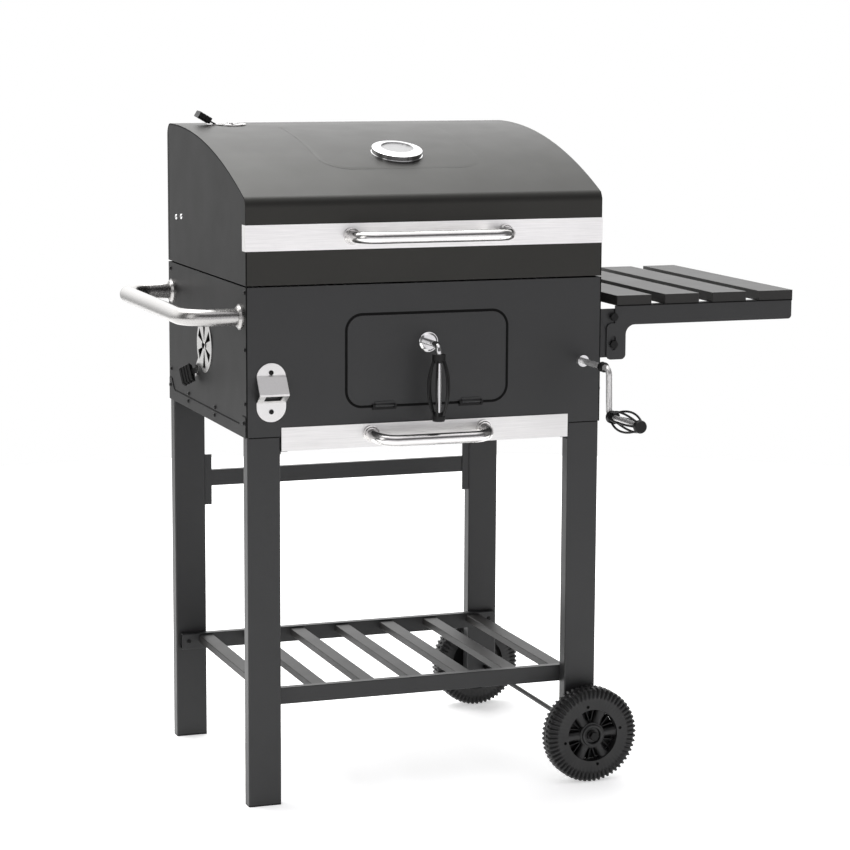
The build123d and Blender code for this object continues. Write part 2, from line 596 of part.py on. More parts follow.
ARM_TOP = TABLE_TOP - PLANK_DEPTH
with BuildPart() as table_arms:
    for outer, inward in ARM_SIDES:
        with BuildSketch(front_plane(0, outer, 0)) as arm:
            with BuildLine():
                Polyline((TABLE_PIVOT_X - 11.7, 696.2), (TABLE_PIVOT_X + 22.3, 696.2),
                         (TABLE_PIVOT_X + 22.3, 753), (TABLE_RIGHT - 0.5, 753), (TABLE_RIGHT - 0.5, ARM_TOP),
                         (TABLE_PIVOT_X + 3.1, ARM_TOP), (TABLE_PIVOT_X + 3.1, 756),
                         (TABLE_PIVOT_X - 11.7, 756), (TABLE_PIVOT_X - 11.7, 696.2))
            make_face()
            feet = [v for v in arm.vertices() if v.Y < 700]
            fillet(feet, 8)
            bend = [v for v in arm.vertices() if v.Y == 753 and v.X < TABLE_RIGHT - 1]
            fillet(bend, 16)
            ends = [v for v in arm.vertices() if v.Y == 753 and v.X > TABLE_RIGHT - 1]
            fillet(ends, 6)
            shoulder = [v for v in arm.vertices() if v.Y == 756 and v.X < TABLE_PIVOT_X]
            fillet(shoulder, 9)
            with Locations((TABLE_PIVOT_X, TABLE_STOP_Z)):
                Circle(5, mode=Mode.SUBTRACT)
            with Locations((TABLE_PIVOT_X, TABLE_PIVOT_Z + 2)):
                SlotOverall(24, 9, rotation=90, mode=Mode.SUBTRACT)
        extrude(amount=-inward * ARM_SHEET)
        flange_y = sorted((outer, outer + inward * 20))
        block((PLANK_LEFT + 20, TABLE_RIGHT - 4), flange_y, (ARM_TOP - ARM_SHEET, ARM_TOP))
table_arms.part.label = "table_arms"

# Crank bushes in the front and back panels
BUSH_BORE = ROD_RADIUS + RUNNING_FIT
with BuildPart() as crank_bushes:
    front_seat = front_plane(CRANK_X, 0, CRANK_Z)
    disc(front_seat, 11, 4, taper=20)
    disc(front_seat, 7, -8)
    disc(front_plane(CRANK_X, BOX_DEPTH - SHEET, CRANK_Z), 11, 12)
    disc(front_plane(CRANK_X, BOX_DEPTH - SHEET, CRANK_Z), BUSH_BORE, BOX_DEPTH + 20, mode=Mode.SUBTRACT)
crank_bushes.part.label = "crank_bushes"

# Crank: one bent rod that runs to the back panel, with two pinions on it
CRANK_END = BOX_DEPTH - 5
arm_x = CRANK_X + CRANK_ARM * sin(radians(CRANK_TILT))
arm_z = CRANK_Z - CRANK_ARM * cos(radians(CRANK_TILT))
with BuildPart() as crank_rod:
    tube([(CRANK_X, CRANK_END, CRANK_Z), (CRANK_X, -CRANK_REACH, CRANK_Z), (arm_x, -CRANK_REACH, arm_z),
          (arm_x, -CRANK_REACH - GRIP_LENGTH, arm_z)], 11, ROD_RADIUS)
crank_rod.part.label = "crank_rod"

with BuildPart() as crank_grip:
    cage_grip(front_plane(arm_x, -CRANK_REACH - 10, arm_z), GRIP_LENGTH - 6, 19)
crank_grip.part.label = "crank_grip"

# Pinions on the crank, and the racks on the charcoal tray that they lift
PINION_Y = (115.0, 361.0)
PINION_WIDTH = 12.0
PINION_TEETH = 10
TOOTH_TOP = 2.2
TOOTH_ROOT = 3.2
RACK_LINE = CRANK_X - PINION_RADIUS
RACK_Z = (FLOOR_Z[1] + 2, TRAY_Z[1] + 22)
with BuildPart() as pinions:
    for pinion_y in PINION_Y:
        with BuildSketch(front_plane(CRANK_X, pinion_y + PINION_WIDTH / 2, CRANK_Z)):
            Circle(PINION_RADIUS - TOOTH_ROOT)
            with PolarLocations(0, PINION_TEETH):
                Polygon((8, -3.4), (PINION_RADIUS - TOOTH_ROOT, -2.9), (PINION_RADIUS, -1.95),
                        (PINION_RADIUS + TOOTH_TOP, -0.8), (PINION_RADIUS + TOOTH_TOP, 0.8),
                        (PINION_RADIUS, 1.95), (PINION_RADIUS - TOOTH_ROOT, 2.9), (8, 3.4), align=None)
            Circle(ROD_RADIUS, mode=Mode.SUBTRACT)
        extrude(amount=PINION_WIDTH)
pinions.part.label = "pinions"

with BuildPart() as lift_racks:
    teeth_below = int((CRANK_Z - RACK_Z[0]) / TOOTH_PITCH)
    teeth_above = int((RACK_Z[1] - CRANK_Z) / TOOTH_PITCH)
    for rack_y in PINION_Y:
        with BuildSketch(front_plane(0, rack_y + PINION_WIDTH / 2, 0)):
            with Locations(((TRAY_X[1] + RACK_LINE - TOOTH_ROOT) / 2, sum(RACK_Z) / 2)):
                Rectangle(RACK_LINE - TOOTH_ROOT - TRAY_X[1], RACK_Z[1] - RACK_Z[0])
            for step in range(-teeth_below, teeth_above):
                with Locations((RACK_LINE, CRANK_Z + (step + 0.5) * TOOTH_PITCH)):
                    Polygon((-TOOTH_ROOT - 0.5, -3.2), (0, -1.9), (TOOTH_TOP, -1.0),
                            (TOOTH_TOP, 1.0), (0, 1.9), (-TOOTH_ROOT - 0.5, 3.2), align=None)
        extrude(amount=PINION_WIDTH)
lift_racks.part.label = "lift_racks"

# Charcoal tray with ash slots, and the loose grate that lies in it
with BuildPart() as charcoal_tray:
    block(TRAY_X, TRAY_Y, TRAY_Z)
    inner = [(low + SHEET, high - SHEET) for low, high in (TRAY_X, TRAY_Y)]
    block(*inner, (TRAY_Z[0] + SHEET, TRAY_Z[1] + 1), mode=Mode.SUBTRACT)
    with BuildSketch(level_plane(sum(TRAY_X) / 2, sum(TRAY_Y) / 2, TRAY_Z[0] - 1)):
        with GridLocations(76, 34, 6, 10):
            SlotOverall(56, 9)
    extrude(amount=SHEET + 2, mode=Mode.SUBTRACT)
charcoal_tray.part.label = "charcoal_tray"

COAL_BAR = 2.5
COAL_X = (TRAY_X[0] + 5, TRAY_X[1] - 5)
COAL_Y = (TRAY_Y[0] + 5, TRAY_Y[1] - 5)
COAL_Z = TRAY_Z[0] + SHEET + COAL_BAR
with BuildPart() as charcoal_grate:
    for cross in range(4):
        cross_y = COAL_Y[0] + COAL_BAR + cross * (COAL_Y[1] - COAL_Y[0] - 2 * COAL_BAR) / 3
        disc(side_plane(COAL_X[0], cross_y, COAL_Z), COAL_BAR, COAL_X[1] - COAL_X[0])
    for long_bar in range(20):
        bar_x = COAL_X[0] + COAL_BAR + long_bar * (COAL_X[1] - COAL_X[0] - 2 * COAL_BAR) / 19
        disc(front_plane(bar_x, COAL_Y[1], COAL_Z + 3.5), COAL_BAR, COAL_Y[1] - COAL_Y[0])
charcoal_grate.part.label = "charcoal_grate"

# Ash drawer: a tray, its stainless front and its handle
DRAWER_X = (LEG_INNER_LEFT + SHEET + 0.8, LEG_INNER_RIGHT - SHEET - 0.8)
DRAWER_Y = (0.2, 440.0)
DRAWER_TOP = 600.0
DRAWER_HANDLE_X = (205.0, 397.0)
DRAWER_HANDLE_Z = 595.5
with BuildPart() as ash_drawer_tray:
    block(DRAWER_X, DRAWER_Y, (DRAWER_BOTTOM, DRAWER_TOP))
    inner = [(low + 1, high - 1) for low, high in (DRAWER_X, DRAWER_Y)]
    block(*inner, (DRAWER_BOTTOM + 1, DRAWER_TOP + 1), mode=Mode.SUBTRACT)
ash_drawer_tray.part.label = "ash_drawer_tray"

DRAWER_FACE = -1.0
with BuildPart() as ash_drawer_front:
    front_x = (NOTCH_LEFT + 0.5, BOX_WIDTH - NOTCH_LEFT - 0.5)
    block(front_x, (DRAWER_FACE, DRAWER_Y[0]), (574.5, NOTCH_TOP - 0.4))
ash_drawer_front.part.label = "ash_drawer_front"

with BuildPart() as ash_drawer_handle:
    bar_handle(DRAWER_HANDLE_X, DRAWER_FACE, DRAWER_HANDLE_Z, 46, drop=6)
ash_drawer_handle.part.label = "ash_drawer_handle"

# Charging door: hinge knuckles on its lower edge, pins in brackets on the front panel
DOOR_AXIS_Y = -2.6
DOOR_AXIS_Z = 640.4
DOOR_FACE = -0.3
DOOR_PIN = 1.5
HINGE_X = (227.0, 374.0)
HINGE_HALF = 20.0
DOOR_PANEL_Z = (DOOR_BOTTOM + DOOR_GAP, DOOR_TOP - DOOR_GAP)
with BuildPart() as door_panel:
    with BuildSketch(front_plane(door_middle[0], DOOR_FACE + SHEET, door_middle[1])):
        RectangleRounded(door_size[0] - 2 * DOOR_GAP, door_size[1] - 2 * DOOR_GAP, DOOR_CORNER - DOOR_GAP)
    extrude(amount=SHEET)
    for hinge_x in HINGE_X:
        knuckle_x = (hinge_x - HINGE_HALF + 4.4, hinge_x + HINGE_HALF - 4.4)
        disc(side_plane(knuckle_x[0], DOOR_AXIS_Y, DOOR_AXIS_Z), 2.4, knuckle_x[1] - knuckle_x[0])
        block(knuckle_x, (-1.6, DOOR_FACE), (DOOR_AXIS_Z, DOOR_AXIS_Z + 6))
        bore = side_plane(knuckle_x[0] - 1, DOOR_AXIS_Y, DOOR_AXIS_Z)
        disc(bore, DOOR_PIN + RUNNING_FIT, 2 * HINGE_HALF, mode=Mode.SUBTRACT)
    disc(front_plane(LATCH_X, 5, LATCH_Z), ROD_RADIUS + 0.4, 10, mode=Mode.SUBTRACT)
door_panel.part.label = "door_panel"

with BuildPart() as door_hinge_brackets:
    for hinge_x in HINGE_X:
        ends = (hinge_x - HINGE_HALF, hinge_x + HINGE_HALF)
        disc(side_plane(ends[0], DOOR_AXIS_Y, DOOR_AXIS_Z), DOOR_PIN, 2 * HINGE_HALF)
        block(ends, (-SHEET, 0), (633.5, 637.4))
        for ear in ((ends[0], ends[0] + 4), (ends[1] - 4, ends[1])):
            block(ear, (-5, -0.8), (636, 642.2))
door_hinge_brackets.part.label = "door_hinge_brackets"

with BuildPart() as door_escutcheon:
    seat = front_plane(LATCH_X, DOOR_FACE, LATCH_Z)
    disc(seat, 16, 2)
    disc(seat.offset(2), 15, 2.4, taper=50)
    disc(seat.offset(-1), ROD_RADIUS + RUNNING_FIT, 8, mode=Mode.SUBTRACT)
door_escutcheon.part.label = "door_escutcheon"

# Latch: a bent rod with a cam behind the door, and its cage grip
LATCH_END = 618.0
with BuildPart() as latch_rod:
    tube([(LATCH_X, 6, LATCH_Z), (LATCH_X, -LATCH_REACH, LATCH_Z), (LATCH_X, -LATCH_REACH, LATCH_END + 8)],
         12, ROD_RADIUS)
    block((LATCH_X - 6, LATCH_X + 6), (3.2, 5.2), (LATCH_Z - 8, LATCH_Z + 34))
latch_rod.part.label = "latch_rod"

with BuildPart() as latch_grip:
    grip_top = at(LATCH_X, -LATCH_REACH, LATCH_Z - 14)
    cage_grip(Plane(origin=grip_top, x_dir=(1, 0, 0), z_dir=(0, 0, -1)), LATCH_Z - 14 - LATCH_END, 19.5)
latch_grip.part.label = "latch_grip"


# Vents: a slotted disc that turns on its rivet, with a lever and a finger tab
def vent_disc(label, plane, radius, reach, slot_angle):
    with BuildPart() as part:
        disc(plane, radius, SHEET)
        vent_slots(plane, radius, slot_angle)
        with BuildSketch(plane):
            with Locations(((radius * 0.9 + reach) / 2, 0)):
                Rectangle(reach - radius * 0.9, 14)
        extrude(amount=SHEET)
        disc(plane.offset(SHEET), 5, 2, taper=30)
        shank = VENT_STANDOFF + SHEET + GAP
        disc(plane, PIN_BORE - RUNNING_FIT, -shank)
        disc(plane.offset(-shank), 6, -1.5)
    part.part.label = label
    return part


def vent_tab(label, plane, reach, width, length, rise):
    """A ribbed finger tab on the lever's end that leans up from it by the angle rise."""
    lean = plane.x_dir * cos(radians(rise)) + plane.z_dir * sin(radians(rise))
    lift = SHEET + GAP + TAB_DEPTH / 2
    foot = plane.origin + plane.x_dir * (reach - 4) + plane.z_dir * lift
    slab = Plane(origin=foot, x_dir=plane.y_dir, z_dir=lean)
    with BuildPart() as part:
        with BuildSketch(slab):
            RectangleRounded(width, TAB_DEPTH, 2.5)
        extrude(amount=length)
        for step in range(3):
            with BuildSketch(slab.offset(4 + step * (length - 4) / 3)):
                Rectangle(width + 2, TAB_DEPTH + 3)
                Rectangle(width - 3, TAB_DEPTH - 3, mode=Mode.SUBTRACT)
            extrude(amount=2.2, mode=Mode.SUBTRACT)
        with BuildSketch(slab.offset(1)):
            Rectangle(10, 2)
        extrude(amount=-(lift + 3) / sin(radians(rise)))
        with BuildSketch(plane.offset(SHEET)):
            Circle(3 * reach)
        extrude(amount=-20, mode=Mode.SUBTRACT)
    part.part.label = label
    return part


LEFT_VENT = side_vent_plane(True)
RIGHT_VENT = side_vent_plane(False)
SIDE_VENT_REACH = 80.0
LID_VENT_LEVER = 42.0
left_vent_disc = vent_disc("left_vent_disc", LEFT_VENT, VENT_RADIUS, SIDE_VENT_REACH, -VENT_SLOT_ANGLE)
right_vent_disc = vent_disc("right_vent_disc", RIGHT_VENT, VENT_RADIUS, SIDE_VENT_REACH, VENT_SLOT_ANGLE)
lid_vent_disc = vent_disc("lid_vent_disc", lid_vent_plane, LID_VENT_RADIUS, LID_VENT_LEVER, 30)
left_vent_tab = vent_tab("left_vent_tab", LEFT_VENT, SIDE_VENT_REACH, 33, 20, 45)
right_vent_tab = vent_tab("right_vent_tab", RIGHT_VENT, SIDE_VENT_REACH, 33, 20, 45)
lid_vent_tab = vent_tab("lid_vent_tab", lid_vent_plane, LID_VENT_LEVER, 27, 23, 30)

# Lid: a bent shell, two side plates, a stainless band, its handle and its hinges
with BuildPart() as lid_shell:
    extrude(lid_outline(), amount=BOX_WIDTH)
    extrude(lid_outline(SHEET), amount=BOX_WIDTH, mode=Mode.SUBTRACT)
    thermometer_seat = lid_plane(THERMOMETER_X, THERMOMETER_Y)
    disc(thermometer_seat.offset(-4), 5, 8, mode=Mode.SUBTRACT)
    vent_slots(lid_vent_plane, LID_VENT_RADIUS, 30)
    disc(lid_vent_plane.offset(-4), PIN_BORE, 8, mode=Mode.SUBTRACT)
lid_shell.part.label = "lid_shell"

with BuildPart() as lid_side_left:
    extrude(lid_outline(SHEET), amount=SHEET)
lid_side_left.part.label = "lid_side_left"

with BuildPart() as lid_side_right:
    extrude(lid_outline(SHEET).moved(Location((BOX_WIDTH - SHEET, 0, 0))), amount=SHEET)
lid_side_right.part.label = "lid_side_right"

TRIM_RETURN = 18.0
with BuildPart() as lid_trim_band:
    block((-TRIM_SHEET, BOX_WIDTH + TRIM_SHEET), (-TRIM_SHEET, TRIM_RETURN), (TRIM_BOTTOM, TRIM_TOP))
    block((0, BOX_WIDTH), (0, TRIM_RETURN + 1), (TRIM_BOTTOM - 1, TRIM_TOP + 1), mode=Mode.SUBTRACT)
lid_trim_band.part.label = "lid_trim_band"

LID_HANDLE_X = (172.0, 432.0)
with BuildPart() as lid_handle:
    bar_handle(LID_HANDLE_X, -TRIM_SHEET, (TRIM_BOTTOM + TRIM_TOP) / 2, 46)
lid_handle.part.label = "lid_handle"

LID_HINGE_X = (110.0, 490.0)
LID_AXIS_Y = BOX_DEPTH + 6
LID_AXIS_Z = 835.2
KNUCKLE = 5.0
LID_PIN = 2.5
LEAF_HALF = 22.0
LEAF_MIDDLE = 8.0
LEAF_Y = (BOX_DEPTH, BOX_DEPTH + 2)
with BuildPart() as body_hinge_leaves:
    for hinge_x in LID_HINGE_X:
        block((hinge_x - LEAF_HALF, hinge_x + LEAF_HALF), LEAF_Y, (796, 828.5))
        for start in (hinge_x - LEAF_HALF, hinge_x + LEAF_MIDDLE):
            end = start + LEAF_HALF - LEAF_MIDDLE
            block((start, end), LEAF_Y, (828, LID_AXIS_Z))
            disc(side_plane(start, LID_AXIS_Y, LID_AXIS_Z), KNUCKLE, end - start)
        disc(side_plane(hinge_x - LEAF_HALF, LID_AXIS_Y, LID_AXIS_Z), LID_PIN, 2 * LEAF_HALF)
body_hinge_leaves.part.label = "body_hinge_leaves"

with BuildPart() as lid_hinge_leaves:
    for hinge_x in LID_HINGE_X:
        neck = (hinge_x - LEAF_MIDDLE + GAP, hinge_x + LEAF_MIDDLE - GAP)
        block((hinge_x - LEAF_HALF, hinge_x + LEAF_HALF), LEAF_Y, (842, 872))
        block(neck, LEAF_Y, (LID_AXIS_Z, 843))
        disc(side_plane(neck[0], LID_AXIS_Y, LID_AXIS_Z), KNUCKLE, neck[1] - neck[0])
        bore = side_plane(neck[0] - 1, LID_AXIS_Y, LID_AXIS_Z)
        disc(bore, LID_PIN + RUNNING_FIT, 2 * LEAF_MIDDLE + 2, mode=Mode.SUBTRACT)
lid_hinge_leaves.part.label = "lid_hinge_leaves"

# Thermometer in the lid: a chrome case with a probe through the shell, and a dial
DIAL_RADIUS = 27.0
with BuildPart() as thermometer_case:
    disc(thermometer_seat, 42.5, 1.6)
    disc(thermometer_seat.offset(1.6), 41.5, 7.4)
    disc(thermometer_seat.offset(9), 41, 3, taper=74)
    disc(thermometer_seat.offset(12), DIAL_RADIUS, -4, mode=Mode.SUBTRACT)
    disc(thermometer_seat, 4, -62)
    hexagon(thermometer_seat.offset(-9), 14, 5)
thermometer_case.part.label = "thermometer_case"

with BuildPart() as thermometer_dial:
    disc(thermometer_seat.offset(8), DIAL_RADIUS, 1.6)
thermometer_dial.part.label = "thermometer_dial"

# Every piece, one file each
PIECES = [
    leg_front_left, leg_back_left, leg_front_right, leg_back_right, foot_caps, rear_cross_brace,
    shelf_front_rail, shelf_back_rail, shelf_slats, axle, axle_nuts, wheel_front, wheel_back,
    firebox_front, firebox_back, firebox_left, firebox_right, firebox_floor, grate_ledges,
    cooking_grates, side_skirts, panel_screws, push_handle, bottle_opener, drawer_runners,
    tray_guides, table_brackets, table_bolts, table_planks, table_arms, crank_bushes, crank_rod,
    crank_grip, pinions, lift_racks, charcoal_tray, charcoal_grate, ash_drawer_tray,
    ash_drawer_front, ash_drawer_handle, door_panel, door_hinge_brackets, door_escutcheon,
    latch_rod, latch_grip, left_vent_disc, left_vent_tab, right_vent_disc, right_vent_tab,
    lid_shell, lid_side_left, lid_side_right, lid_trim_band, lid_handle, lid_vent_disc,
    lid_vent_tab, body_hinge_leaves, lid_hinge_leaves, thermometer_case, thermometer_dial,
]
for piece in PIECES:
    export_step(piece.part, f"parts/{piece.part.label}.step")
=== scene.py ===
"""The looks of a charcoal grill cart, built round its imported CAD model."""

import json
import math

import bmesh
import bpy
from mathutils import Matrix, Vector


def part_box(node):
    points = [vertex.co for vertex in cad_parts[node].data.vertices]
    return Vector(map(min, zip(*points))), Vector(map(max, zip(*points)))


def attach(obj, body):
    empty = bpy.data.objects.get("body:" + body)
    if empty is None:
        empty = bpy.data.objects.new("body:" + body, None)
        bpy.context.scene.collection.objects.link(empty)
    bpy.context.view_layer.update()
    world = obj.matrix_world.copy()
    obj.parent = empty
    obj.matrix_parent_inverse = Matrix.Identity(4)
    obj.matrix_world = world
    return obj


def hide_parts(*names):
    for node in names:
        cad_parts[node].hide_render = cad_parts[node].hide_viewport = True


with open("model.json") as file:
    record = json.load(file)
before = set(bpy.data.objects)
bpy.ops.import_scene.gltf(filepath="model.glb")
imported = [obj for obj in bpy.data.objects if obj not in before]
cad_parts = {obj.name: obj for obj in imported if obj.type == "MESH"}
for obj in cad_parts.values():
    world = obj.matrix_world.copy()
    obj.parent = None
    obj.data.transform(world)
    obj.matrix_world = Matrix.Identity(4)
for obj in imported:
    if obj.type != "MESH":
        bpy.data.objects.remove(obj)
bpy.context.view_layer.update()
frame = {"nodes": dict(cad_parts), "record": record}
NODES = frame["nodes"]
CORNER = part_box("firebox_front")[0]
TAU = 2 * math.pi


def at(x, y, z):
    """A point from millimetres, measured at the firebox's front left corner and the floor."""
    return Vector((CORNER.x + x / 1000, CORNER.y + y / 1000, z / 1000))


# ---------------------------------------------------------------- materials
class Nodes:
    """A small helper that adds shader nodes to one material."""

    def __init__(self, name):
        self.material = bpy.data.materials.new(name)
        self.material.use_nodes = True
        self.tree = self.material.node_tree
        self.shader = self.tree.nodes["Principled BSDF"]
        self.coords = self.add("ShaderNodeTexCoord").outputs["Object"]

    def add(self, kind, **settings):
        node = self.tree.nodes.new(kind)
        for key, value in settings.items():
            setattr(node, key, value)
        return node

    def link(self, source, target):
        self.tree.links.new(source, target)

    def noise(self, scale, detail=3.0, stretch=(1, 1, 1), rough=0.5):
        """Noise over the object's own coordinates, between 0 and 1."""
        mapping = self.add("ShaderNodeMapping")
        mapping.inputs["Scale"].default_value = stretch
        self.link(self.coords, mapping.inputs["Vector"])
        noise = self.add("ShaderNodeTexNoise")
        noise.inputs["Scale"].default_value = scale
        noise.inputs["Detail"].default_value = detail
        noise.inputs["Roughness"].default_value = rough
        self.link(mapping.outputs["Vector"], noise.inputs["Vector"])
        return noise.outputs["Fac"]

    def spread(self, value, low, high, start=0.3, stop=0.7):
        """Maps start..stop of a value to low..high."""
        node = self.add("ShaderNodeMapRange")
        node.inputs["From Min"].default_value = start
        node.inputs["From Max"].default_value = stop
        node.inputs["To Min"].default_value = low
        node.inputs["To Max"].default_value = high
        self.link(value, node.inputs["Value"])
        return node.outputs["Result"]

    def mix(self, factor, one, two):
        """A colour between two colours, given as tuples or sockets."""
        node = self.add("ShaderNodeMix", data_type="RGBA")
        self.link(factor, node.inputs["Factor"])
        for value, socket in ((one, node.inputs["A"]), (two, node.inputs["B"])):
            if isinstance(value, tuple):
                socket.default_value = (*value, 1)
            else:
                self.link(value, socket)
        return node.outputs["Result"]

    def bump(self, height, strength, distance):
        node = self.add("ShaderNodeBump")
        node.inputs["Strength"].default_value = strength
        node.inputs["Distance"].default_value = distance
        self.link(height, node.inputs["Height"])
        self.link(node.outputs["Normal"], self.shader.inputs["Normal"])


def grey(level, warm=0.0):
    """A grey, a little warm or cool."""
    return (level * (1 + warm), level, level * (1 - warm))


def coat(name, level, rough=0.42, specular=0.5, grain=900, dust=0.25, warm=0.0, sheen=(1, 1, 1)):
    """Powder coat: fine orange peel, slight blotches of sheen and a little pale dust."""
    n = Nodes(name)
    blotch = n.spread(n.noise(7, 4), 0, 1)
    speck = n.spread(n.noise(1600, 2), 0, 1, 0.55, 0.8)
    base = n.mix(blotch, grey(level * 0.95, warm), grey(level * 1.06, warm))
    dusty = n.mix(n.spread(speck, 0, dust, 0, 1), base, grey(level * 2.4, warm))
    n.link(dusty, n.shader.inputs["Base Color"])
    n.link(n.spread(n.noise(18, 5), rough - 0.015, rough + 0.02), n.shader.inputs["Roughness"])
    n.shader.inputs["Specular IOR Level"].default_value = specular
    n.shader.inputs["Specular Tint"].default_value = (*sheen, 1)
    n.bump(n.noise(grain, 2), 0.10, 0.0002)
    return n.material


def steel(name, level, rough, stretch, depth=0.10, warm=0.01, metallic=1.0):
    """Brushed steel: fine scratches that run along the stretched axis, and faint smudges."""
    n = Nodes(name)
    scratch = n.noise(900, 3, stretch, 0.7)
    smudge = n.noise(9, 4)
    tone = n.mix(n.spread(scratch, 0, 1, 0.35, 0.65), grey(level * 0.88, warm), grey(level, warm))
    n.link(n.mix(n.spread(smudge, 0, 0.35, 0.45, 0.7), tone, grey(level * 0.8, warm)),
           n.shader.inputs["Base Color"])
    n.link(n.spread(scratch, rough - 0.04, rough + 0.05), n.shader.inputs["Roughness"])
    n.shader.inputs["Metallic"].default_value = metallic
    n.bump(scratch, depth, 0.0001)
    return n.material


def chrome(name, level=0.78, rough=0.09):
    """Chrome plate with a faint ripple and fingerprints in its gloss."""
    n = Nodes(name)
    print_marks = n.noise(60, 5)
    n.link(n.mix(n.spread(print_marks, 0, 1), grey(level), grey(level * 0.9)), n.shader.inputs["Base Color"])
    n.link(n.spread(print_marks, rough * 0.7, rough * 1.9), n.shader.inputs["Roughness"])
    n.shader.inputs["Metallic"].default_value = 1.0
    n.bump(n.noise(45, 2), 0.05, 0.0008)
    return n.material


def plastic(name, level, rough=0.45, grain=1300, specular=0.25):
    """Moulded plastic: a fine spark-eroded grain and slight sheen changes."""
    n = Nodes(name)
    n.shader.inputs["Specular IOR Level"].default_value = specular
    n.link(n.mix(n.spread(n.noise(30, 4), 0, 1), grey(level * 0.85), grey(level * 1.25)),
           n.shader.inputs["Base Color"])
    n.link(n.spread(n.noise(40, 4), rough - 0.06, rough + 0.08), n.shader.inputs["Roughness"])
    n.bump(n.noise(grain, 2), 0.2, 0.0002)
    return n.material


ALONG_X = (0.02, 1, 1)
MATERIALS = {
    "charcoal_coat": coat("charcoal_coat", 0.020, rough=0.42, specular=0.42, warm=-0.02),
    "slat_coat": coat("slat_coat", 0.019, rough=0.46, specular=0.30, grain=700, warm=0.05),
    "firebox_coat": coat("firebox_coat", 0.013, rough=0.7, specular=0.25, grain=500),
    "grate_enamel": coat("grate_enamel", 0.008, rough=0.16, specular=0.6, grain=260, dust=0.05),
    "stainless": steel("stainless", 0.80, 0.20, (0.35, 0.35, 1), depth=0.03, warm=0.015),
    "chrome": chrome("chrome"),
    "dial_face": coat("dial_face", 0.34, rough=0.3, specular=0.5, grain=1400, dust=0.05),
    "zinc_steel": steel("zinc_steel", 0.5, 0.42, (1, 1, 1), depth=0.15),
    "black_plastic": plastic("black_plastic", 0.006, 0.42),
    "wheel_plastic": plastic("wheel_plastic", 0.012, 0.42, specular=0.4),
}
STAINLESS_BAND = steel("stainless_band", 0.92, 0.36, ALONG_X, depth=0.02)
OPENER_STEEL = steel("opener_steel", 0.74, 0.38, (1, 1, 1), depth=0.3)
DRAWER_STEEL = steel("drawer_steel", 0.74, 0.34, ALONG_X, depth=0.02)
# Painted light: a copy of the chrome, part metal and part pale colour, so the crank rod shows light where
# chrome would mirror the dark front panel.
LIT_CRANK_STEEL = steel("crank_steel_painted_light", 0.70, 0.22, (0.35, 0.35, 1), depth=0.02, metallic=0.6)
# Black for screws, bolts, hinges and the axle, and painted shade for the wheels' webs and the thermometer's
# setting hole.
BLACK_PARTS_AND_SHADE = coat("black_screw_and_painted_shade", 0.005, rough=0.35, specular=0.2, grain=1500, dust=0.1)
# Black for the vent rivets, and painted shade: the dark strips in the joints and gaps, and the wheels' rim
# holes.
SHADE_AND_RIVET_BLACK = coat("painted_shade_and_rivet_black", 0.002, rough=0.6, specular=0.1, grain=900, dust=0.1)
# Painted shade: a darker, less shiny copy of the charcoal coat for the lid's and firebox's side panels and
# the skirts, which keeps the sides darker than the same coat would look in this light.
SHADED_SIDE_COAT = coat("side_coat_painted_shade", 0.012, rough=0.46, specular=0.13)
LID_COAT = coat("lid_coat", 0.018, rough=0.45, specular=0.32, warm=0.04, sheen=(1.0, 1.0, 0.92))
# Painted shade: a darker copy of the stainless for the push handle, which holds down the bright reflections
# it would show in this light.
SHADED_PUSH_STEEL = steel("push_steel_painted_shade", 0.44, 0.26, (0.35, 0.35, 1), depth=0.03, warm=0.02)
SPECIAL = {
    "lid_trim_band": STAINLESS_BAND,
    "ash_drawer_front": DRAWER_STEEL,
    "bottle_opener": OPENER_STEEL,
    "push_handle": SHADED_PUSH_STEEL,
    "panel_screws": BLACK_PARTS_AND_SHADE,
    "table_bolts": BLACK_PARTS_AND_SHADE,
    "door_hinge_brackets": BLACK_PARTS_AND_SHADE,
    "crank_rod": LIT_CRANK_STEEL,
    "axle": BLACK_PARTS_AND_SHADE,
    "axle_nuts": BLACK_PARTS_AND_SHADE,
    "lid_shell": LID_COAT,
    "lid_side_left": SHADED_SIDE_COAT,
    "lid_side_right": SHADED_SIDE_COAT,
    "firebox_left": SHADED_SIDE_COAT,
    "firebox_right": SHADED_SIDE_COAT,
    "side_skirts": SHADED_SIDE_COAT,
}
slots = {entry["node"]: entry["material_slot"] for entry in frame["record"]["subparts"]}
for name, node in NODES.items():
    node.data.materials.clear()
    node.data.materials.append(SPECIAL.get(name, MATERIALS[slots[name]]))

# Folded and cut edges catch the light
SOFT_EDGES = {
    "table_planks": 0.0010, "table_arms": 0.0006,
    "rear_cross_brace": 0.0006, "table_brackets": 0.0006, "bottle_opener": 0.0004,
    "door_panel": 0.0004, "side_skirts": 0.0004, "firebox_front": 0.0004,
}
for name, node in NODES.items():
    width = next((value for start, value in SOFT_EDGES.items() if name.startswith(start)), None)
    if width:
        weld = node.modifiers.new("weld", "WELD")
        weld.merge_threshold = 0.00001
        bevel = node.modifiers.new("bevel", "BEVEL")
        bevel.width = width
        bevel.segments = 2
        bevel.limit_method = "ANGLE"
        bevel.angle_limit = math.radians(50)
        bevel.harden_normals = True


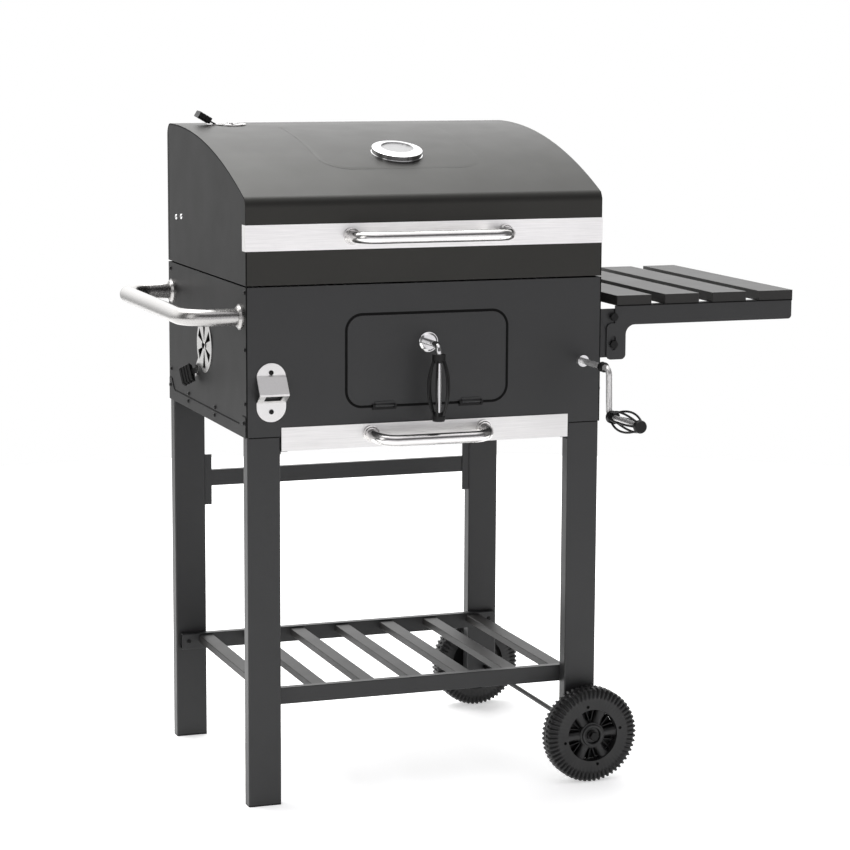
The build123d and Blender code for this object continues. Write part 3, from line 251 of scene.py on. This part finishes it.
# ---------------------------------------------------------------- pieces in mesh code
def piece(name, bm, body, slot, material=None, smooth=True):
    """Makes an object of a bmesh and lets it ride on a body."""
    mesh = bpy.data.meshes.new(name)
    bmesh.ops.recalc_face_normals(bm, faces=bm.faces)
    bm.to_mesh(mesh)
    bm.free()
    for face in mesh.polygons:
        face.use_smooth = smooth
    if smooth:
        mesh.set_sharp_from_angle(angle=math.radians(38))
    obj = bpy.data.objects.new(name, mesh)
    bpy.context.scene.collection.objects.link(obj)
    mesh.materials.append(material or MATERIALS[slot])
    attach(obj, body)
    return obj


def grid_faces(bm, rows, close_rows=False, close_columns=True):
    """Joins rows of vertices with quads."""
    row_count = len(rows) if close_rows else len(rows) - 1
    size = len(rows[0])
    column_count = size if close_columns else size - 1
    for r in range(row_count):
        one, two = rows[r], rows[(r + 1) % len(rows)]
        for c in range(column_count):
            d = (c + 1) % size
            bm.faces.new((one[c], one[d], two[d], two[c]))


# Firebox and lid, in millimetres
WIDTH, DEPTH = 600.0, 478.0
FIREBOX_LOW, FIREBOX_HIGH = 598.0, 834.0
LID_LOW, BAND_LOW = 837.0, 889.5

# Lid: the pressed panel in its top
LID_RADIUS, LID_APEX_Y, LID_ARC_Z = 1050.0, 448.0, 20.0


def fade(x):
    """How high the pressed edge stands: full at the left end, lower to the right."""
    return 1 - 0.75 * min(max((x - 190) / 90, 0), 1)


def on_lid(x, y, lift):
    """A point over the lid's curved top."""
    tilt = math.asin((LID_APEX_Y - y) / LID_RADIUS)
    reach = LID_RADIUS + lift
    return at(x, LID_APEX_Y - reach * math.sin(tilt), LID_ARC_Z + reach * math.cos(tilt))


def rounded_rectangle(x, y, corner, steps=14):
    """Points round a rounded rectangle, given by its low and high X and Y."""
    points = []
    corners = ((x[1], y[1], 0), (x[0], y[1], 1), (x[0], y[0], 2), (x[1], y[0], 3))
    for cx, cy, quarter in corners:
        mx = cx - corner if quarter in (0, 3) else cx + corner
        my = cy - corner if quarter in (0, 1) else cy + corner
        for step in range(steps + 1):
            angle = (quarter + step / steps) * math.pi / 2
            points.append((mx + corner * math.cos(angle), my + corner * math.sin(angle)))
    return points


PANEL_X, PANEL_Y, PANEL_CORNER = (161.0, 439.0), (96.0, 400.0), 48.0
# Inset from the panel's edge and height over the lid, from the foot of the pressed step to the flat middle
PANEL_STEP = (
    (0, -0.3), (0, 0.12), (1.5, 0.25), (4, 0.6), (6.5, 0.82), (9, 0.86), (30, 0.86), (60, 0.86), (95, 0.86),
)
bm = bmesh.new()
rings = []
for inset, lift in PANEL_STEP:
    outline = rounded_rectangle((PANEL_X[0] + inset, PANEL_X[1] - inset),
                                (PANEL_Y[0] + inset, PANEL_Y[1] - inset), max(PANEL_CORNER - inset, 6))
    dense = []
    for i, (px, py) in enumerate(outline):
        qx, qy = outline[(i + 1) % len(outline)]
        count = 16 if math.hypot(qx - px, qy - py) > 40 or i % 15 == 14 else 1
        dense += [(px + (qx - px) * k / count, py + (qy - py) * k / count) for k in range(count)]
    rings.append([bm.verts.new(on_lid(px, py, lift * fade(px))) for px, py in dense])
grid_faces(bm, rings)
bm.faces.new(rings[-1])
bmesh.ops.triangulate(bm, faces=[face for face in bm.faces if len(face.verts) > 4])
piece("lid_pressed_panel", bm, "lid", "charcoal_coat", LID_COAT)


# Wheels: a moulded tyre with lugs, a dished face with six rounded spokes, and a hub
WHEEL_CENTRE = (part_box("wheel_front")[0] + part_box("wheel_front")[1]) / 2
DRAWN_DIAMETER = 0.156
WHEEL_SCALE = (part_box("wheel_front")[1].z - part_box("wheel_front")[0].z) / DRAWN_DIAMETER
LUGS = 58
SPOKES = 6


def wheel_point(y, toward, depth, radius, angle):
    """A point on a wheel, depth behind its outer face, for a tyre radius of 78 mm."""
    radius *= WHEEL_SCALE
    return Vector((WHEEL_CENTRE.x + radius / 1000 * math.cos(angle), CORNER.y + (y + toward * depth) / 1000,
                   WHEEL_CENTRE.z + radius / 1000 * math.sin(angle)))


# With a lug: depth, radius. Without one: depth, radius. Last, which half of the tread the lug is on
TYRE = [
    (1.6, 43, 1.6, 43, 0), (1.6, 60, 1.6, 60, 0), (1.0, 61.5, 1.6, 61.5, 0), (0.1, 63, 2.0, 62.6, 0),
    (0.0, 66, 3.0, 65, 0), (0.3, 70, 3.4, 69, 0), (1.2, 74.5, 4.2, 72.5, 0), (3.2, 77.0, 5.4, 74, 0),
    (6, 78.0, 7, 75.0, 0), (14.5, 78.0, 14.5, 75.2, 0), (15.5, 76.2, 15.5, 75.2, 0),
    (16.2, 77.4, 16.2, 77.4, 0),
    (19.8, 77.4, 19.8, 77.4, 0), (20.5, 76.2, 20.5, 75.2, 1), (21.5, 78.0, 21.5, 75.2, 1),
    (30, 78.0, 30, 75.0, 1), (32.8, 77.0, 31, 74, 1), (34.8, 74.5, 32.4, 72.5, 1), (36.0, 70, 33.2, 68.6, 1),
    (35.8, 65.5, 33.6, 65, 1), (34.8, 63, 34.0, 63, 1), (34.4, 61.5, 34.4, 61.5, 1), (34.4, 48, 34.4, 48, 1),
    (24, 46, 24, 46, 1), (22, 44, 22, 44, 1), (22, 43, 22, 43, 1),
]
LUG_SHAPE = (1, 1, 1, 0.5, 0, 0, 0, 0.5)


# The hub's stepped sleeve, which runs on to the leg: depth, radius
HUB = [
    (2.0, 7.5), (2.0, 8.5), (5.0, 9.0), (5.0, 12.4), (0.6, 13.2), (0.0, 14.0), (0.0, 17.2), (0.8, 18.0),
    (3.4, 18.4), (3.6, 20.4), (4.4, 21.2), (22.0, 22.0), (24.0, 20.0), (40.0, 12.0), (43.2, 11.0),
    (43.3, 4.2), (10.0, 4.2), (3.0, 4.2), (2.0, 5.0),
]


def wheel_ring(bm, y, toward, depth, radius, steps):
    """A ring of vertices round a wheel."""
    return [bm.verts.new(wheel_point(y, toward, depth, radius, TAU * s / steps)) for s in range(steps)]


def wheel_tyre(bm, y, toward):
    """The tyre and rim, open at the window ring."""
    rows = []
    steps = LUGS * len(LUG_SHAPE)
    for lug_depth, with_lug, plain_depth, without, half in TYRE:
        row = []
        for step in range(steps):
            share = LUG_SHAPE[(step + half * 4) % len(LUG_SHAPE)]
            radius = without + (with_lug - without) * share
            depth = plain_depth + (lug_depth - plain_depth) * share
            row.append(bm.verts.new(wheel_point(y, toward, depth, radius, TAU * step / steps)))
        rows.append(row)
    grid_faces(bm, rows)
    # the pocket's wall joins the tyre's first ring to its last one
    wall = []
    for depth in (1.6, 4.0, 12.0, 19.5):
        radius = 43 if depth < 2 else 42.6
        wall.append(wheel_ring(bm, y, toward, depth, radius, steps))
    grid_faces(bm, wall)
    grid_faces(bm, [wall[-1], rows[-1]])
    for one, two in zip(rows[0], wall[0]):
        two.co = one.co


def wheel_spoke(bm, y, toward, middle):
    """One spoke with a round back, about the angle of its middle line."""
    rows = []
    for k in range(9):
        radius = 19.5 + (43.6 - 19.5) * k / 8
        half_width = 7.4 + 1.2 * abs(k / 8 - 0.45) ** 1.5 * 4
        crest = 5.2 + 3.2 * math.sin(math.pi * k / 8) * 0.5
        row = []
        for j in range(13):
            turn = math.pi * j / 12
            across = half_width * math.cos(turn)
            depth = crest + 7.0 * (1 - math.sin(turn)) ** 1.2
            angle = middle + math.atan2(across, radius)
            row.append(bm.verts.new(wheel_point(y, toward, depth, radius, angle)))
        for across in (-half_width, half_width):
            angle = middle + math.atan2(across, radius)
            row.append(bm.verts.new(wheel_point(y, toward, 20.5, radius, angle)))
        rows.append(row)
    grid_faces(bm, rows)
    bm.faces.new(rows[0])
    bm.faces.new(rows[-1])


def wheel_moulding(name, body, node, y, toward):
    """The wheel itself, which stands in for the CAD wheel."""
    bm = bmesh.new()
    wheel_tyre(bm, y, toward)
    grid_faces(bm, [wheel_ring(bm, y, toward, depth, radius, 64) for depth, radius in HUB], close_rows=True)
    for spoke in range(SPOKES):
        wheel_spoke(bm, y, toward, TAU * (spoke + 0.06) / SPOKES)
    bmesh.ops.remove_doubles(bm, verts=bm.verts, dist=0.000001)
    obj = piece(name, bm, body, "wheel_plastic")
    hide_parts(node)


def wheel_web(body, y, toward):
    """The web behind the spokes, with two ribs in each gap, in a darker black than the wheel: painted shade
    in the wheel's pocket.
    """
    bm = bmesh.new()
    web = []
    for depth, radius in ((20.5, 18.0), (20.5, 42.5), (22.0, 42.5), (22.0, 18.0)):
        web.append(wheel_ring(bm, y, toward, depth, radius, 96))
    grid_faces(bm, web, close_rows=True)
    for rib in range(SPOKES):
        for lean in (-1, 1):
            middle = TAU * (rib + 0.56) / SPOKES
            rows = []
            for radius, shift in ((20, 0.02 * lean), (42.4, 0.17 * lean)):
                row = []
                for depth, side in ((11, -0.8), (11, 0.8), (20.4, 0.9), (20.4, -0.9)):
                    angle = middle + shift + side / radius
                    row.append(bm.verts.new(wheel_point(y, toward, depth, radius, angle)))
                rows.append(row)
            grid_faces(bm, rows)
            for row in rows:
                bm.faces.new(row)
    # Painted shade: the web is darker than the wheel's own plastic.
    piece(f"{body}_web", bm, body, "wheel_plastic", BLACK_PARTS_AND_SHADE)


def wheel_rim_holes(body, y, toward):
    """Four small dark discs in the rim, painted shade for its holes."""
    bm = bmesh.new()
    for mark in range(4):
        centre = wheel_point(y, toward, 1.6, 49, TAU * (mark + 0.12) / 4)
        rings_of_mark = []
        for depth, radius in ((0.1, 2.6), (-0.12, 2.6), (-0.12, 2.0), (0.0, 1.8)):
            ring = []
            for s in range(20):
                turn = TAU * s / 20
                spot = Vector((radius * math.cos(turn), toward * depth, radius * math.sin(turn)))
                ring.append(bm.verts.new(centre + spot / 1000))
            rings_of_mark.append(ring)
        grid_faces(bm, rings_of_mark)
        bm.faces.new(rings_of_mark[0])
        bm.faces.new(rings_of_mark[-1])
    piece(f"{body}_rim_holes", bm, body, "wheel_plastic", SHADE_AND_RIVET_BLACK)


def wheel(name, body, node, y, toward):
    """A whole wheel, whose outer face is at y and looks away from the direction toward."""
    wheel_moulding(name, body, node, y, toward)
    wheel_web(body, y, toward)
    wheel_rim_holes(body, y, toward)


front_box, back_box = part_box("wheel_front"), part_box("wheel_back")
wheel("front_wheel_moulding", "front_wheel", "wheel_front", (front_box[0].y - CORNER.y) * 1000, 1)
wheel("back_wheel_moulding", "back_wheel", "wheel_back", (back_box[1].y - CORNER.y) * 1000, -1)


def lathe(name, origin, axis, profile, body, slot, material=None, steps=48):
    """A turned piece: profile is (along, radius) in millimetres from its origin."""
    side = axis.orthogonal().normalized()
    other = axis.cross(side).normalized()
    bm = bmesh.new()
    rows = []
    for along, radius in profile:
        ring = []
        for s in range(steps):
            turn = TAU * s / steps
            spot = origin + (axis * along + (side * math.cos(turn) + other * math.sin(turn)) * radius) / 1000
            ring.append(bm.verts.new(spot))
        rows.append(ring)
    grid_faces(bm, rows)
    bm.faces.new(rows[0])
    bm.faces.new(rows[-1])
    return piece(name, bm, body, slot, material)


FRONT, LEFT = Vector((0, -1, 0)), Vector((-1, 0, 0))
RIGHT = -LEFT
# Black stop clip where the crank bends
lathe("crank_clip", at(569, -78, 698), FRONT,
      ((0, 5.2), (0, 7.6), (1, 8.2), (3, 8.2), (4, 7.6), (8, 7.6), (9, 8.2), (11, 8.2), (12, 7.6), (12, 5.2)),
      "crank", "black_plastic")
# Bright lid screws on the left side
for index, (y, z) in enumerate(((421, 914), (388, 917))):
    lathe(f"lid_side_screw_{index}", at(0.2, y, z), LEFT,
          ((0, 4.6), (0.6, 4.6), (1.4, 4.2), (2.2, 3.2), (2.6, 1.6), (2.6, 0.1)),
          "lid", "zinc_steel", MATERIALS["chrome"])
# Vent rivets
for side, x, axis in (("left", -3.7, LEFT), ("right", WIDTH + 3.7, RIGHT)):
    lathe(f"{side}_vent_rivet", at(x, 243.8, 716) - axis * 0.0006, axis,
          ((0, 5.6), (0.6, 5.5), (1.3, 4.6), (1.9, 2.8), (2.1, 0.1)),
          f"{side}_vent", "zinc_steel", SHADE_AND_RIVET_BLACK)
# Setting hole in the thermometer's rim: a small black cup, painted shade inside the hole
tilt = math.asin((LID_APEX_Y - 158) / LID_RADIUS)
down = Vector((0.12, -math.cos(tilt), -math.sin(tilt))).normalized()
lathe("thermometer_vent_hole", on_lid(302, 158, 5) + down * 0.0410, down,
      ((0, 1.7), (0.65, 1.7), (0.7, 1.2), (0.45, 1.0), (0.45, 0.1)),
      "lid", "black_plastic", BLACK_PARTS_AND_SHADE, steps=24)


# Painted shade: dark strips in the joints, folds and gaps between the sheets, where shade falls
def ribbon(name, points, outward, width, body, closed=False, height=0.15):
    """A flat strip along a path, on a face that looks outward."""
    bm = bmesh.new()
    rows = []
    count = len(points)
    for i, point in enumerate(points):
        before = points[(i - 1) % count] if closed or i else point
        after = points[(i + 1) % count] if closed or i < count - 1 else point
        side = outward.cross(after - before).normalized() * width / 2000
        lift = outward * height / 1000
        rows.append([bm.verts.new(point + shift) for shift in (side, side + lift, lift - side, -side)])
    grid_faces(bm, rows, close_rows=closed)
    if not closed:
        bm.faces.new(rows[0])
        bm.faces.new(rows[-1])
    return piece(name, bm, body, "black_plastic", SHADE_AND_RIVET_BLACK, smooth=False)


def lid_profile(x, inset):
    """The lid's outline on one side plate, from its front foot over the top to its back foot."""
    slope = math.asin(LID_APEX_Y / LID_RADIUS)
    crease = LID_ARC_Z + LID_RADIUS * math.cos(slope)
    points = [at(x, inset, z) for z in (LID_LOW, 888, 933, crease - 8)]
    for step in range(33):
        tilt = slope * (1 - step / 32) * 0.985
        reach = LID_RADIUS - inset
        points.append(at(x, LID_APEX_Y - reach * math.sin(tilt), LID_ARC_Z + reach * math.cos(tilt)))
    for step in range(9):
        turn = math.pi / 2 * (1 - step / 8)
        points.append(at(x, DEPTH - 20 + (20 - inset) * math.cos(turn), 1050 + (20 - inset) * math.sin(turn)))
    points.append(at(x, DEPTH - inset, LID_LOW))
    return points


for side, x, outward in (("left", 0, LEFT), ("right", WIDTH, RIGHT)):
    # Painted shade: dark strips along the lid's side seams and fold, the firebox's corner joints and the
    # skirts' top edges.
    ribbon(f"lid_{side}_joint", lid_profile(x, 1.3), outward, 2.2, "lid")
    ribbon(f"lid_{side}_fold_shade", [at(x, 469, LID_LOW), at(x, 469, 1056)], outward, 1.3, "lid")
    ribbon(f"firebox_{side}_joint", [at(x, 1.1, FIREBOX_LOW), at(x, 1.1, FIREBOX_HIGH)], outward, 1.8, "cart")
    edge = x + 0.9 if x == 0 else x - 0.9
    front = [at(edge, 0, z) for z in (FIREBOX_LOW, FIREBOX_HIGH)]
    ribbon(f"front_{side}_joint", front, FRONT, 1.6, "cart")
    lid_front = [at(edge, 0, z) for z in (LID_LOW, BAND_LOW)]
    ribbon(f"lid_front_{side}_joint", lid_front, FRONT, 1.4, "lid")
    skirt = [
        (4, 631), (22, 631), (36.5, 616.2), (120, 616.2),
        (330, 616.2), (442.5, 616.2), (460, 635), (474, 635),
    ]
    ribbon(f"{side}_skirt_joint", [at(x, y, z) for y, z in skirt], outward, 1.6, "cart")
# Painted shade: a dark strip on each front leg, just under the firebox's front panel.
for side, x in (("left", 1.2), ("right", 544.8)):
    ribbon(f"leg_{side}_joint", [at(x + 2, 1.2, 597), at(x + 52, 1.2, 597)], FRONT, 1.8, "cart")
# Painted shade: a dark line between the planks' front ends and the table arm.
ribbon("plank_joint", [at(633, 7.5, 785), at(952, 7.5, 785)], FRONT, 1.8, "side_table")
# Painted shade: a dark ring in the gap round the door.
door_ring = [at(x, 0, z) for x, z in rounded_rectangle((163.6, 436.4), (639.0, 786.7), 26.4)]
ribbon("door_gap_shade", door_ring, FRONT, 4.0, "cart", closed=True, height=0.12)

# ---------------------------------------------------------------- floor, light and camera
floor_mesh = bpy.data.meshes.new("floor")
floor_rim = [(3.2 * math.cos(TAU * s / 64), 3.2 * math.sin(TAU * s / 64), 0) for s in range(64)]
floor_mesh.from_pydata(floor_rim, [], [tuple(range(64))])
floor = bpy.data.objects.new("floor", floor_mesh)
bpy.context.scene.collection.objects.link(floor)
paper = Nodes("paper_floor")
paper_white = paper.mix(paper.noise(0.8, 3), grey(0.93), grey(0.97))
paper.link(paper_white, paper.shader.inputs["Base Color"])
paper.link(paper_white, paper.shader.inputs["Emission Color"])
paper.shader.inputs["Emission Strength"].default_value = 0.5
paper.shader.inputs["Roughness"].default_value = 0.9
paper.shader.inputs["Specular IOR Level"].default_value = 0.1
floor_mesh.materials.append(paper.material)

world = bpy.data.worlds.new("studio")
bpy.context.scene.world = world
world.use_nodes = True
tree = world.node_tree
coords = tree.nodes.new("ShaderNodeTexCoord")
split = tree.nodes.new("ShaderNodeSeparateXYZ")
tree.links.new(coords.outputs["Generated"], split.inputs[0])


def ramp(source, stops):
    node = tree.nodes.new("ShaderNodeMapRange")
    node.interpolation_type = "SMOOTHSTEP"
    for socket, value in zip(("From Min", "From Max", "To Min", "To Max"), stops):
        node.inputs[socket].default_value = value
    tree.links.new(source, node.inputs["Value"])
    return node.outputs["Result"]


def combine(operation, one, two):
    node = tree.nodes.new("ShaderNodeMath")
    node.operation = operation
    for socket, value in zip(node.inputs, (one, two)):
        if isinstance(value, float):
            socket.default_value = value
        else:
            tree.links.new(value, socket)
    return node.outputs[0]


behind = combine("MULTIPLY", ramp(split.outputs["Y"], (0.1, 0.6, 0.0, 1.0)),
                 ramp(split.outputs["Z"], (-0.25, 0.45, 0.5, 1.9)))
front_low = combine("MULTIPLY", ramp(split.outputs["Y"], (-0.75, -0.45, 1.0, 0.0)),
                    ramp(split.outputs["Z"], (0.12, 0.3, 0.85, 0.0)))
above = ramp(split.outputs["Z"], (0.7, 0.92, 0.0, 1.1))
glow = combine("ADD", combine("ADD", behind, front_low), combine("ADD", above, 0.14))
is_seen = tree.nodes.new("ShaderNodeLightPath").outputs["Is Camera Ray"]
pick = tree.nodes.new("ShaderNodeMix")
pick.data_type = "FLOAT"
tree.links.new(is_seen, pick.inputs["Factor"])
tree.links.new(glow, pick.inputs["A"])
pick.inputs["B"].default_value = 1.0
background = tree.nodes["Background"]
tint = tree.nodes.new("ShaderNodeMix")
tint.data_type = "RGBA"
white_side = combine("MAXIMUM", ramp(split.outputs["Y"], (-0.5, 0.2, 0.0, 1.0)), is_seen)
tree.links.new(white_side, tint.inputs["Factor"])
tint.inputs["A"].default_value = (0.985, 0.97, 1.0, 1)
tint.inputs["B"].default_value = (1.0, 1.0, 1.0, 1)
tree.links.new(tint.outputs["Result"], background.inputs["Color"])
tree.links.new(pick.outputs["Result"], background.inputs["Strength"])


def softbox(name, place, target, size, power):
    light = bpy.data.lights.new(name, "AREA")
    light.shape = "RECTANGLE"
    light.size, light.size_y = size
    light.energy = power
    obj = bpy.data.objects.new(name, light)
    bpy.context.scene.collection.objects.link(obj)
    obj.location = place
    obj.rotation_euler = (Vector(target) - Vector(place)).to_track_quat("-Z", "Y").to_euler()


softbox("top_box", (-0.6, 1.2, 3.4), (0, 0.1, 0.9), (3.0, 2.2), 60)
softbox("left_box", (-3.0, -1.2, 1.8), (0, 0, 0.8), (1.0, 2.4), 10)

camera_data = bpy.data.cameras.new("camera")
camera_data.lens = 113.64
camera_data.sensor_width = 36
camera_data.clip_end = 200
camera = bpy.data.objects.new("camera", camera_data)
bpy.context.scene.collection.objects.link(camera)
azimuth, elevation, roll = math.radians(-19.895), math.radians(8.745), math.radians(0.270)
flat = math.cos(elevation)
back = Vector((math.sin(azimuth) * flat, -math.cos(azimuth) * flat, math.sin(elevation)))
right = Vector((math.cos(azimuth), math.sin(azimuth), 0))
up = back.cross(right)
right, up = right * math.cos(roll) + up * math.sin(roll), up * math.cos(roll) - right * math.sin(roll)
turn = Matrix((right, up, back)).transposed().to_4x4()
camera.matrix_world = Matrix.Translation(at(-1148.24, -3991.97, 1258.0)) @ turn
bpy.context.scene.camera = camera
bpy.context.scene.view_settings.view_transform = "Standard"
